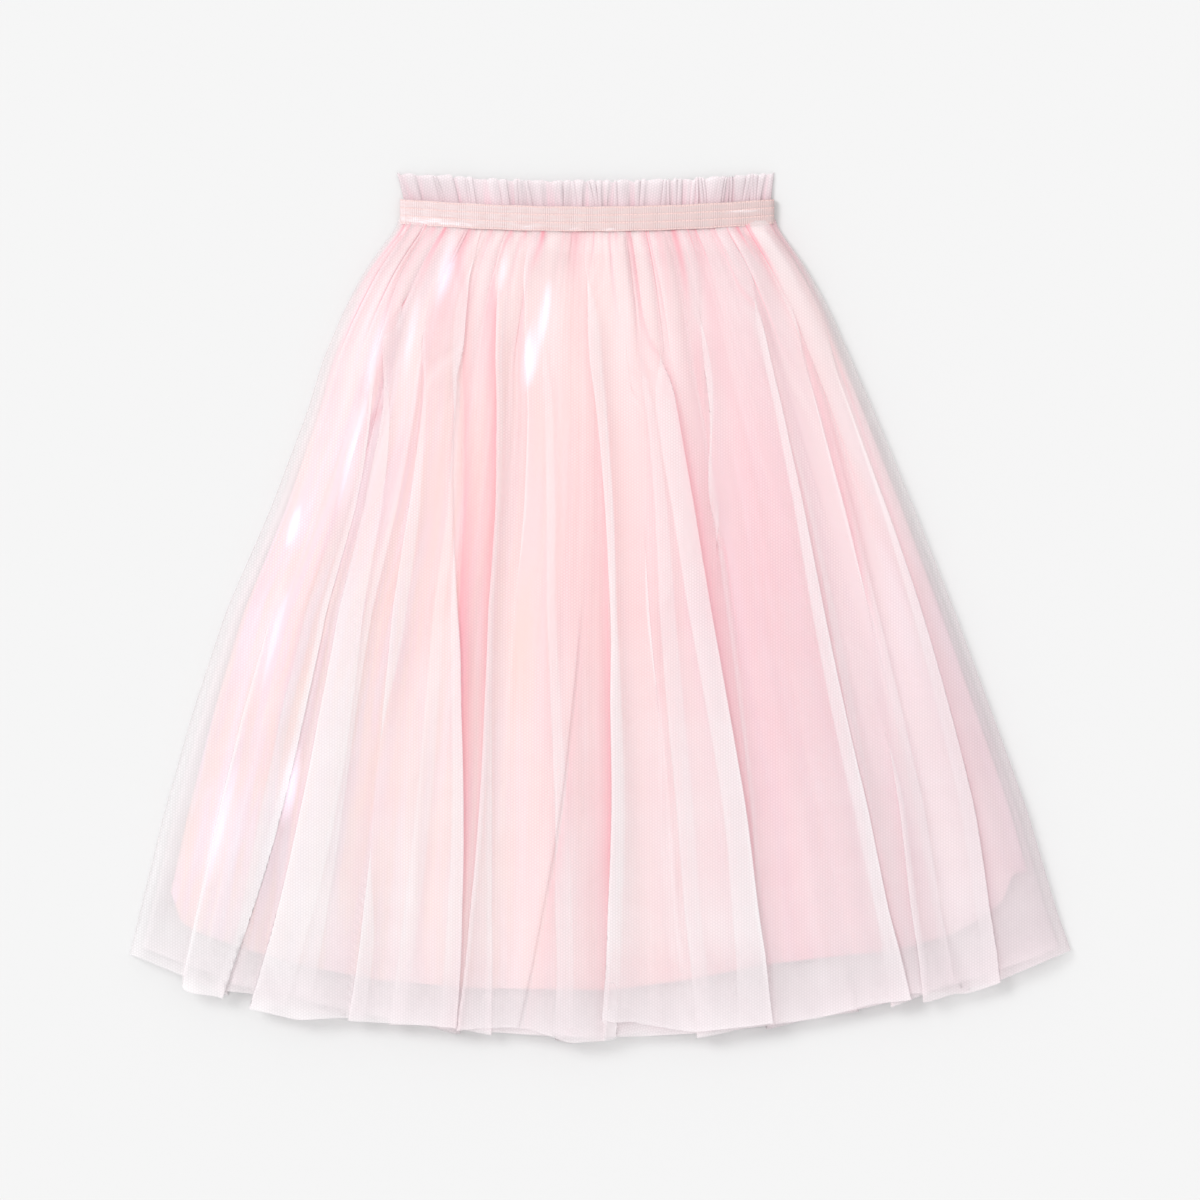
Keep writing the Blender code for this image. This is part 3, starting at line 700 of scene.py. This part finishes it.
def shimmer(name):
    """Satin with a pearly film: smooth, opaque, and changing in hue along its creases, with painted
    shade and painted highlights that glow.
    """
    material, tree = new_material(name)
    # The gleams are painted highlights that glow through emission; they are not sampled as lamps.
    material.cycles.emission_sampling = "NONE"  # the gleams are marks on the cloth, not lamps
    cloth, spot, parts, (_, _, slit), across = cloth_sockets(tree)
    drawn = add(tree, "ShaderNodeMapping", {"Vector": cloth, "Scale": (120, 9, 1)})
    streaks = add(tree, "ShaderNodeTexNoise", {
        "Vector": drawn, "Scale": 1, "Detail": 4}).outputs["Fac"]
    near_waist, near_hem, film = (
        dyed(add(tree, "ShaderNodeValToRGB", {"Fac": amount}), stops)
        for amount, stops in ((across, WAIST_DYES_AND_SHADE), (across, HEM_DYES_AND_SHADE), (streaks, FILM_DYES)))
    to_waist, to_left, flecks = (
        add(tree, "ShaderNodeMapRange", {
            "Value": value, "From Min": start, "From Max": end, "To Min": least, "To Max": most,
        })
        for value, start, end, least, most in (
            (parts["Y"], 0, 0.19, 0, 1), (across, 0.48, 0.1, 0.12, 0.75),
            (streaks, 0.36, 0.56, 0.35, 1)))
    creased, peachy = (crease_share(tree, spot, creases) for creases in (GLEAMS, PEACHES))
    lower = add(tree, "ShaderNodeMath", {0: to_waist, 1: -0.5, 2: 1}, operation="MULTIPLY_ADD")
    # valley is painted shade: a deeper pink in the gather slits.
    filmed, valley, gleam = (
        add(tree, "ShaderNodeMath", {0: one, 1: other}, operation="MULTIPLY")
        for one, other in ((to_left, lower), (slit, 0.65), (creased, flecks)))
    colour = near_hem
    for amount, over in ((to_waist, near_waist), (filmed, film), (valley, dye(VALLEY_SHADE)),
                         (peachy, dye(PEACH)), (gleam, dye(GLEAM_HIGHLIGHT))):
        colour = add(tree, "ShaderNodeMix", {0: amount, 6: colour, 7: over},
                     data_type="RGBA").outputs[2]
    # Painted glow: the gleams shine through emission, though they are no lamp.
    glow = add(tree, "ShaderNodeMath", {0: gleam, 1: 0.9}, operation="MULTIPLY")
    bump = add(tree, "ShaderNodeBump", {"Height": streaks, "Strength": 0.25, "Distance": 0.001})
    surface = add(tree, "ShaderNodeBsdfPrincipled", {
        "Base Color": colour, "Roughness": 0.36, "Specular IOR Level": 0.6, "Sheen Weight": 0.15,
        "Normal": bump, "Emission Color": dye(GLOW), "Emission Strength": glow})
    add(tree, "ShaderNodeOutputMaterial", {"Surface": surface})
    return material


satin = shimmer("Shimmer satin with a pearl film")
print("satin made, bright creases:", len(GLEAMS))

# %% [markdown]
# Now the three tubes are laid, from the inside out. The satin has broad soft folds only, and both
# tubes of net have their laps. All three are gathered together below the band.

# %% Underskirt and the two tubes of net
def underskirt_hem(x):
    return softened(UNDERSKIRT_HEM_ROWS, x, 1, 5)


def top_net_hem(x):
    return softened(TOP_HEM_ROWS, x, 1, 4)


def first_net_hem(x):
    return arc_hem(x) + 6  # this layer is cut a little shorter than the top one


underskirt_tube = Tube(
    "underskirt", 5, 12, 7, 4.3, 6.3, 0, 4, (), (), 1, 541, 121, 120, 1)
first_tube = Tube(
    "first_net", 3, 4, 4, 2.3, 8.6, 2, 8, INNER_FOLDS, BACK_FOLDS, 0.8, 521, 241, 100, 2)
top_tube = Tube(
    "top_net", 0, 0, 0, 0.2, 11.6, 3.5, 12, TOP_FOLDS, BACK_FOLDS, 1, 641, 261, 110, 4)

underskirt, underskirt_cut, underskirt_area = make_tube(underskirt_tube, underskirt_hem, satin)
first_net, first_cut, first_area = make_tube(first_tube, first_net_hem, first_tulle)
top_net, top_cut, top_area = make_tube(top_tube, top_net_hem, top_tulle)

print("pile height, mm:", round(1000 * max(corner[2] for corner in top_net.bound_box), 1))

# %% [markdown]
# What repeats or follows a rule is made with Geometry Nodes. Each tree has named inputs for its sizes
# and a fixed seed, so a maker can change one number and have every wave or stitch follow. The result
# is turned into a plain mesh.

# %% Tools for node trees
def new_tree(name, **sizes):
    """A node tree with a mesh going in and out and one named input for each size."""
    tree = bpy.data.node_groups.new(name, "GeometryNodeTree")
    tree.interface.new_socket("Geometry", in_out="INPUT", socket_type="NodeSocketGeometry")
    tree.interface.new_socket("Geometry", in_out="OUTPUT", socket_type="NodeSocketGeometry")
    for size, kind in sizes.items():
        tree.interface.new_socket(size, in_out="INPUT", socket_type="NodeSocket" + kind)
    return tree, add(tree, "NodeGroupInput").outputs


def end_tree(tree, shape, finish):
    """Make the copies real, set their finish and hand the shape out."""
    plain = add(tree, "GeometryNodeRealizeInstances", {"Geometry": shape})
    covered = add(tree, "GeometryNodeSetMaterial", {"Geometry": plain, "Material": finish})
    add(tree, "NodeGroupOutput", {0: covered})


def run_tree(name, mesh, tree, values):
    """Run a tree over a mesh and keep the result as a plain mesh object."""
    source = placed(name + "_source", mesh)
    modifier = source.modifiers.new("Rule", "NODES")
    modifier.node_group = tree
    for socket in tree.interface.items_tree:
        if socket.in_out == "INPUT" and socket.name in values:
            modifier[socket.identifier] = values[socket.name]
    evaluated = source.evaluated_get(bpy.context.evaluated_depsgraph_get())
    result = bpy.data.meshes.new_from_object(evaluated)
    result.name = name
    piece = placed(name, result)
    source.modifiers.remove(modifier)
    bpy.data.objects.remove(source)
    print(name, "triangles:", sum(len(face.vertices) - 2 for face in result.polygons))
    return piece


print("trees are kept in the file:", len(bpy.data.node_groups))

# %% [markdown]
# The heading is the net's own top end, left standing above the elastic. The elastic gathers it, so it
# stands in small flat pleats, wide open at the raw edge and pressed together at the band, where dark
# slits show between them: painted shade in the net's colour. A deeper pink is painted at the pressed
# foot as shade too, where the net is also drawn thicker. The tree waves a plain strip: a sine across
# lifts each pleat and swells it sideways over the slits, and slow noise makes the pleats uneven and
# lets them lean. Its arithmetic is a table: each row names a result, its operation and its terms, and
# becomes one Math node.

# %% Ruffle heading
RUFFLE_WAVES = 25
RUFFLE_DEPTH = 17.4
RUFFLE_HIDDEN = 2.5               # its lower end goes in under the band
RUFFLE_AT_BAND = (-127.6, 110)    # left and right ends beside the band
RUFFLE_AT_EDGE = (-132.6, 112.6)  # and at the free edge
SLOW_NOISES = (("drift", 9, 1), ("sizes", 16, 2.3), ("leans", 12, 3.7), ("frays", 30, 5.1))
RUFFLE_SUMS = (
    ("opened", "ADD", "across", 1),
    ("pleats", "MULTIPLY", "Waves", 0.5),
    ("drifting", "MULTIPLY", "drift", 1.5),
    ("turn", "MULTIPLY_ADD", "opened", "pleats", "drifting"),
    ("phase", "MULTIPLY", "turn", 2 * math.pi),
    ("cosine", "COSINE", "phase"),
    ("crest", "MULTIPLY_ADD", "cosine", 0.5, 0.5),
    ("size", "MULTIPLY_ADD", "sizes", 0.3, 0.85),
    ("high", "MULTIPLY", "crest", "size"),
    ("lift", "MULTIPLY", "Rise", "lying"),
    ("rise", "MULTIPLY", "high", "lift"),
    ("sine", "SINE", "phase"),
    ("wide", "MULTIPLY", "Swell", "size"),
    ("swell", "MULTIPLY", "sine", "wide"),
    ("opening", "MULTIPLY_ADD", "outward", -0.35, 1),
    ("pleat", "MULTIPLY", "swell", "opening"),
    ("leaning", "MULTIPLY", "leans", "Lean"),
    ("free", "POWER", "outward", 1.3),
    ("lean", "MULTIPLY", "leaning", "free"),
    ("sideways", "ADD", "pleat", "lean"),
    ("X", "MULTIPLY", "sideways", "ends"),
    ("Z", "MULTIPLY", "rise", "ends"),
    ("fallen", "SUBTRACT", "crest", 1),
    ("ragged", "MULTIPLY_ADD", "frays", 0.5, "fallen"),
    ("scallop", "MULTIPLY", "ragged", "Scallop"),
    ("raw edge", "POWER", "outward", 3),
    ("Y", "MULTIPLY", "scallop", "raw edge"),
    # Red marks painted shade: dark in the slits, and a deeper pink at the pressed foot.
    ("hollow", "SUBTRACT", 1, "crest"),
    ("narrow", "POWER", "hollow", 5),
    ("paler", "MULTIPLY", "outward", 0.65),
    ("dark", "SUBTRACT", 0.8, "paler"),
    ("slit", "MULTIPLY", "narrow", "dark"),
    ("inward", "SUBTRACT", 1, "outward"),
    ("pressed", "POWER", "inward", 1.5),
    ("foot", "MULTIPLY", "pressed", 0.55),
    ("Red", "MAXIMUM", "slit", "foot"),
    ("sharp", "POWER", "crest", 6),
    ("Green", "MULTIPLY", "sharp", 0.05),
)

ruffle_tree, given = new_tree(
    "Ruffle", Waves="Float", Rise="Float", Swell="Float", Lean="Float", Scallop="Float", Seed="Float",
    Net="Material")
known = {socket.name: socket for socket in given}
for name in ("across", "outward", "ends", "lying"):
    known[name] = add(ruffle_tree, "GeometryNodeInputNamedAttribute", {"Name": name},
                      data_type="FLOAT").outputs["Attribute"]
for name, pitch, shift in SLOW_NOISES:
    at = add(ruffle_tree, "ShaderNodeMath", {0: known["across"], 1: pitch}, operation="MULTIPLY")
    at = add(ruffle_tree, "ShaderNodeMath", {0: given["Seed"], 1: shift, 2: at},
             operation="MULTIPLY_ADD")
    noise = add(ruffle_tree, "ShaderNodeTexNoise", {"W": at, "Scale": 1, "Detail": 1},
                noise_dimensions="1D")
    known[name] = add(ruffle_tree, "ShaderNodeMath", {0: noise.outputs["Fac"], 1: 4, 2: -2},
                      operation="MULTIPLY_ADD")
for name, operation, *terms in RUFFLE_SUMS:
    known[name] = add(ruffle_tree, "ShaderNodeMath", {
        n: known.get(term, term) for n, term in enumerate(terms)}, operation=operation)
move = add(ruffle_tree, "ShaderNodeCombineXYZ", {axis: known[axis] for axis in "XYZ"})
waved = add(ruffle_tree, "GeometryNodeSetPosition", {
    "Geometry": given["Geometry"], "Offset": move})
tucked = add(ruffle_tree, "FunctionNodeCombineColor", {part: known[part] for part in ("Red", "Green")})
stored = add(ruffle_tree, "GeometryNodeStoreNamedAttribute", {
    "Geometry": waved, "Name": "folds", "Value": tucked}, data_type="FLOAT_COLOR", domain="POINT")
end_tree(ruffle_tree, stored, given["Net"])

heading_tulle = tulle(
    "Soft nylon tulle, heading", "F0E6E9", "F0E6E9", "EEE0E4", "EBC0CA", HEADING_SHARE, 7)
outward = np.linspace(0, 1, 12)[:, None]
halves = []
for front, columns in ((True, 541), (False, 301)):
    across = np.linspace(-1, 1, columns)[None, :] * (1 if front else -1)
    left, right = (low + (high - low) * outward for low, high in zip(RUFFLE_AT_BAND, RUFFLE_AT_EDGE))
    x = (left + right) / 2 + across * (right - left) / 2
    y = waist_line(x) + BAND_DEPTH - RUFFLE_HIDDEN + (RUFFLE_DEPTH + RUFFLE_HIDDEN) * outward
    crown = np.sqrt(1 - (1 - np.clip((1 - np.abs(across)) / 0.03, 0, 1)) ** 2)
    z = 0.4 + front * crown * (3 + 2.4 * (1 - across ** 4)) * (1 - 0.45 * outward)
    lying = np.full_like(across, 1 if front else 0.3)  # pleats of the back lie pressed
    halves.append((np.stack([x, y, z], axis=-1), across, crown, lying))
points, across, crown, lying = (np.concatenate(pair, axis=1) for pair in zip(*halves))
depth = np.concatenate([[0], np.cumsum(np.linalg.norm(np.diff(points[:, 0], axis=0), axis=1))])
strip = cloth_ring("ruffle_strip", points, run_of(points[0]), depth, {
    "across": across, "outward": outward, "ends": crown, "lying": lying}, UPWARDS)
ruffle = run_tree("ruffle", strip, ruffle_tree, {
    "Waves": float(RUFFLE_WAVES), "Rise": 1.5 * MM, "Swell": 1.3 * MM, "Lean": 2.8 * MM,
    "Scallop": 1.4 * MM, "Seed": 7.0, "Net": heading_tulle})

# %% [markdown]
# The waistband is a length of shimmer elastic, 16 mm wide, joined into a ring that lies flat. Three
# channels are stitched through it, and the rubber cords in them pull its face into fine upright ribs.
# The ring is one closed sheet of its own thickness: a section with three raised rows, carried round.

# %% Waistband
BAND_THICK = 1.3
BAND_FRONT = 6.3                            # top of its front half at the ends
BAND_ARCH = 3.2                             # the pile lifts its middle by this much
BAND_BACK = 0.3
BAND_TURN = (BAND_FRONT - BAND_BACK) / 2
STITCH_ROWS = (0.045, 0.345, 0.655, 0.955)  # shares of the depth, from the lower edge
CHANNEL_DEPTH = 0.35

# Painted highlights, where the satin face catches the light: place across, share of the depth, half
# length, half height.
BAND_SHINES = ((-113, 0.2, 15, 0.14), (-98, 0.14, 16, 0.08), (-48, 0.13, 6, 0.09),
               (-16, 0.09, 6, 0.06), (5, 0.08, 5, 0.06), (92, 0.6, 10, 0.06))


def band_path(count):
    """The ring seen from above its edge: places across, heights, and the direction outwards."""
    front = np.linspace(BAND_LEFT + BAND_TURN, BAND_RIGHT - BAND_TURN, count)
    middle, half = (BAND_LEFT + BAND_RIGHT) / 2, (BAND_RIGHT - BAND_LEFT) / 2
    arch = BAND_ARCH * (1 - ((front - middle) / half) ** 4) + 0.18 * np.sin(0.45 * front)
    turn = np.linspace(90, -90, 10)[1:-1] * math.pi / 180
    right = (front[-1] + BAND_TURN * np.cos(turn), BAND_BACK + BAND_TURN * (1 + np.sin(turn)))
    left = (front[0] - BAND_TURN * np.cos(turn), BAND_BACK + BAND_TURN * (1 - np.sin(turn)))
    x = np.concatenate([front, right[0], front[::-1], left[0]])
    z = np.concatenate([BAND_FRONT + arch, right[1], 0 * front + BAND_BACK, left[1]])
    side = np.concatenate([0 * front, np.cos(turn), 0 * front, -np.cos(turn)])
    rise = np.concatenate([0 * front + 1, np.sin(turn), 0 * front - 1, -np.sin(turn)])
    return x, z, side, rise


def band_point(path, share, depth):
    """Points of the elastic all round, at a share of its width and a depth under its face."""
    x, z, side, rise = path
    y = waist_line(x) + share * BAND_DEPTH + 0.25 * np.sin(0.21 * x) * (share - 0.5)
    return np.stack([x - side * depth, y, z - rise * depth], axis=-1)


def channel_depth(share):
    """The face dips at each row of stitches."""
    return CHANNEL_DEPTH * sum(math.exp(-((share - row) / 0.028) ** 2) for row in STITCH_ROWS)


path = band_path(220)
shares = np.linspace(0, 1, 45)
face = [band_point(path, share, channel_depth(share)) for share in shares]
inside = [band_point(path, share, BAND_THICK) for share in (1, 0.5, 0)]
section = np.stack(face + inside)
section_share = np.array([*shares, 1, 0.5, 0])[:, None]
# The shine mark paints these highlights into the face's colour.
shine = np.zeros(section.shape[:2])
for at, share, long, high in BAND_SHINES:
    blob = ((section[..., 0] - at) / long) ** 2 + ((section_share - share) / high) ** 2
    shine = np.maximum(shine, np.exp(-blob * 1.6) * (section[..., 2] > BAND_FRONT - 1))
dips = np.array([channel_depth(s) / CHANNEL_DEPTH for s in section_share[:, 0]])[:, None] + 0 * shine
band_mesh = cloth_ring("waistband", section, run_of(section[0]), run_of(section[:, 0]), {
    "folds": np.stack([dips, shine, 0 * shine, 1 + 0 * shine], axis=-1)}, UPWARDS)
waistband = placed("waistband", band_mesh)
print("elastic", round(BAND_DEPTH, 1), "mm wide, triangles", 2 * len(band_mesh.polygons))

# %% [markdown]
# Woven elastic with a satin face is duller than the skirt's satin. Its ribs and streaks come from
# bump and patches of a second pink, and the stitched channels are paler lines. The face's shine is
# painted: a pale highlight colour in a few places, where the band bends towards the light.

# %% Shimmer elastic
RIB_PITCH = 1.4 * MM  # the real ribs are about 0.8 mm apart, too fine for the render's pixels
# The elastic's colour runs darker towards the right end.
BAND_TONES = ((0, "E9DADC"), (0.3, "E4D4D4"), (0.6, "DDCBCA"), (1, "CEBBBA"))
PATCH_DYE, CHANNEL_DYE, SHINE_HIGHLIGHT = "E3C1BF", "F2CBC7", "FBF4F8"


def elastic(name):
    """Woven elastic with a satin face: fine upright ribs, soft streaks, painted highlights where light
    strikes.
    """
    material, tree = new_material(name)
    cloth, _, parts, (dip, shine, _), _ = cloth_sockets(tree)
    ribs = add(tree, "ShaderNodeTexWave", {
        "Vector": cloth, "Scale": BANDS / RIB_PITCH, "Distortion": 1.5, "Detail": 1,
        "Detail Scale": 0.4}, bands_direction="X")
    drawn = add(tree, "ShaderNodeMapping", {"Vector": cloth, "Scale": (110, 700, 1)})
    streaks = add(tree, "ShaderNodeTexNoise", {
        "Vector": drawn, "Scale": 1, "Detail": 4, "Roughness": 0.7}).outputs["Fac"]
    share, patchy, broken = (
        add(tree, "ShaderNodeMapRange", {
            "Value": value, "From Min": start, "From Max": end, "To Min": least, "To Max": most,
        })
        for value, start, end, least, most in (
            (parts["X"], -0.13, 0.113, 0, 1), (streaks, 0.35, 0.7, 0, 0.75),
            (streaks, 0.62, 0.38, 0.2, 1)))
    gleam, lined = (
        add(tree, "ShaderNodeMath", {0: one, 1: other}, operation="MULTIPLY")
        for one, other in ((shine, broken), (dip, 0.35)))
    colour = dyed(add(tree, "ShaderNodeValToRGB", {"Fac": share}), BAND_TONES)
    for amount, over in ((patchy, PATCH_DYE), (lined, CHANNEL_DYE), (gleam, SHINE_HIGHLIGHT)):
        colour = add(tree, "ShaderNodeMix", {0: amount, 6: colour, 7: dye(over)},
                     data_type="RGBA").outputs[2]
    relief = add(tree, "ShaderNodeMath", {0: ribs.outputs["Fac"], 1: 0.6, 2: streaks},
                 operation="MULTIPLY_ADD")
    bump = add(tree, "ShaderNodeBump", {
        "Height": relief, "Strength": 0.6, "Distance": 0.0008})
    surface = add(tree, "ShaderNodeBsdfPrincipled", {
        "Base Color": colour, "Roughness": 0.55, "Specular IOR Level": 0.4, "Sheen Weight": 0.1,
        "Normal": bump})
    add(tree, "ShaderNodeOutputMaterial", {"Surface": surface})
    return material


waistband.data.materials.append(elastic("Shimmer elastic with a satin face"))
print("ribs drawn", RIB_PITCH / MM, "mm apart")

# %% [markdown]
# Lockstitch runs along both edges of the elastic and between its channels. The tree takes the seam
# lines, spaces points along them, and lays one short length of thread on each, a little uneven.

# %% Stitches
stitch_tree, given = new_tree(
    "Stitches", Pitch="Float", Long="Float", Thick="Float", Seed="Int", Thread="Material")
line = add(stitch_tree, "GeometryNodeMeshToCurve", {"Mesh": given["Geometry"]})
spaced = add(stitch_tree, "GeometryNodeResampleCurve", {
    "Curve": line, "Length": given["Pitch"]}, mode="LENGTH")
tangent = add(stitch_tree, "GeometryNodeInputTangent")
turned = add(stitch_tree, "FunctionNodeAlignRotationToVector", {"Vector": tangent}, axis="X")
bead = add(stitch_tree, "GeometryNodeMeshIcoSphere", {"Radius": 0.5, "Subdivisions": 2})
uneven = add(stitch_tree, "FunctionNodeRandomValue", {2: 0.85, 3: 1.1, "Seed": given["Seed"]},
             data_type="FLOAT")
long = add(stitch_tree, "ShaderNodeMath", {0: given["Long"], 1: uneven.outputs[1]},
           operation="MULTIPLY")
scale = add(stitch_tree, "ShaderNodeCombineXYZ", {
    "X": long, "Y": given["Thick"], "Z": given["Thick"]})
laid = add(stitch_tree, "GeometryNodeInstanceOnPoints", {
    "Points": spaced, "Instance": bead, "Rotation": turned,
    "Scale": scale})
end_tree(stitch_tree, laid, given["Thread"])

thread, tree = new_material("Spun polyester thread, pale pink")  # soft, with a dull gloss
surface = add(tree, "ShaderNodeBsdfPrincipled", {
    "Base Color": dye("F8DDD8"), "Roughness": 0.6, "Specular IOR Level": 0.3, "Sheen Weight": 0.1})
add(tree, "ShaderNodeOutputMaterial", {"Surface": surface})

seams = [band_point(path, row, channel_depth(row) - 0.12) for row in STITCH_ROWS]
seam_mesh = bpy.data.meshes.new("seams")
count = len(path[0])
edges = [(n + count * row, (n + 1) % count + count * row)
         for row in range(len(seams)) for n in range(count)]
seam_mesh.from_pydata((np.concatenate(seams) * MM).tolist(), edges, [])
stitches = run_tree("stitches", seam_mesh, stitch_tree, {
    "Pitch": 2.6 * MM, "Long": 1.9 * MM, "Thick": 0.42 * MM, "Seed": 3, "Thread": thread})
stitches.data.shade_smooth()

# %% [markdown]
# Last, each piece is set to ride with the skirt and takes the place of its plain solids.

PIECES = (
    (underskirt, "shimmer_satin", ("underskirt_front", "underskirt_back")),
    (first_net, "tulle_net", ("tulle_inner_front", "tulle_inner_back")),
    (top_net, "tulle_net", ("tulle_outer_front", "tulle_outer_back")),
    (ruffle, "tulle_net", ("ruffle_front", "ruffle_back")),
    (waistband, "shimmer_elastic", ("waistband_front", "waistband_back")),
    (stitches, "shimmer_elastic", ()),
)
for piece, finish, node_names in PIECES:
    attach(piece, "root")
    if node_names:
        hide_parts(*node_names)
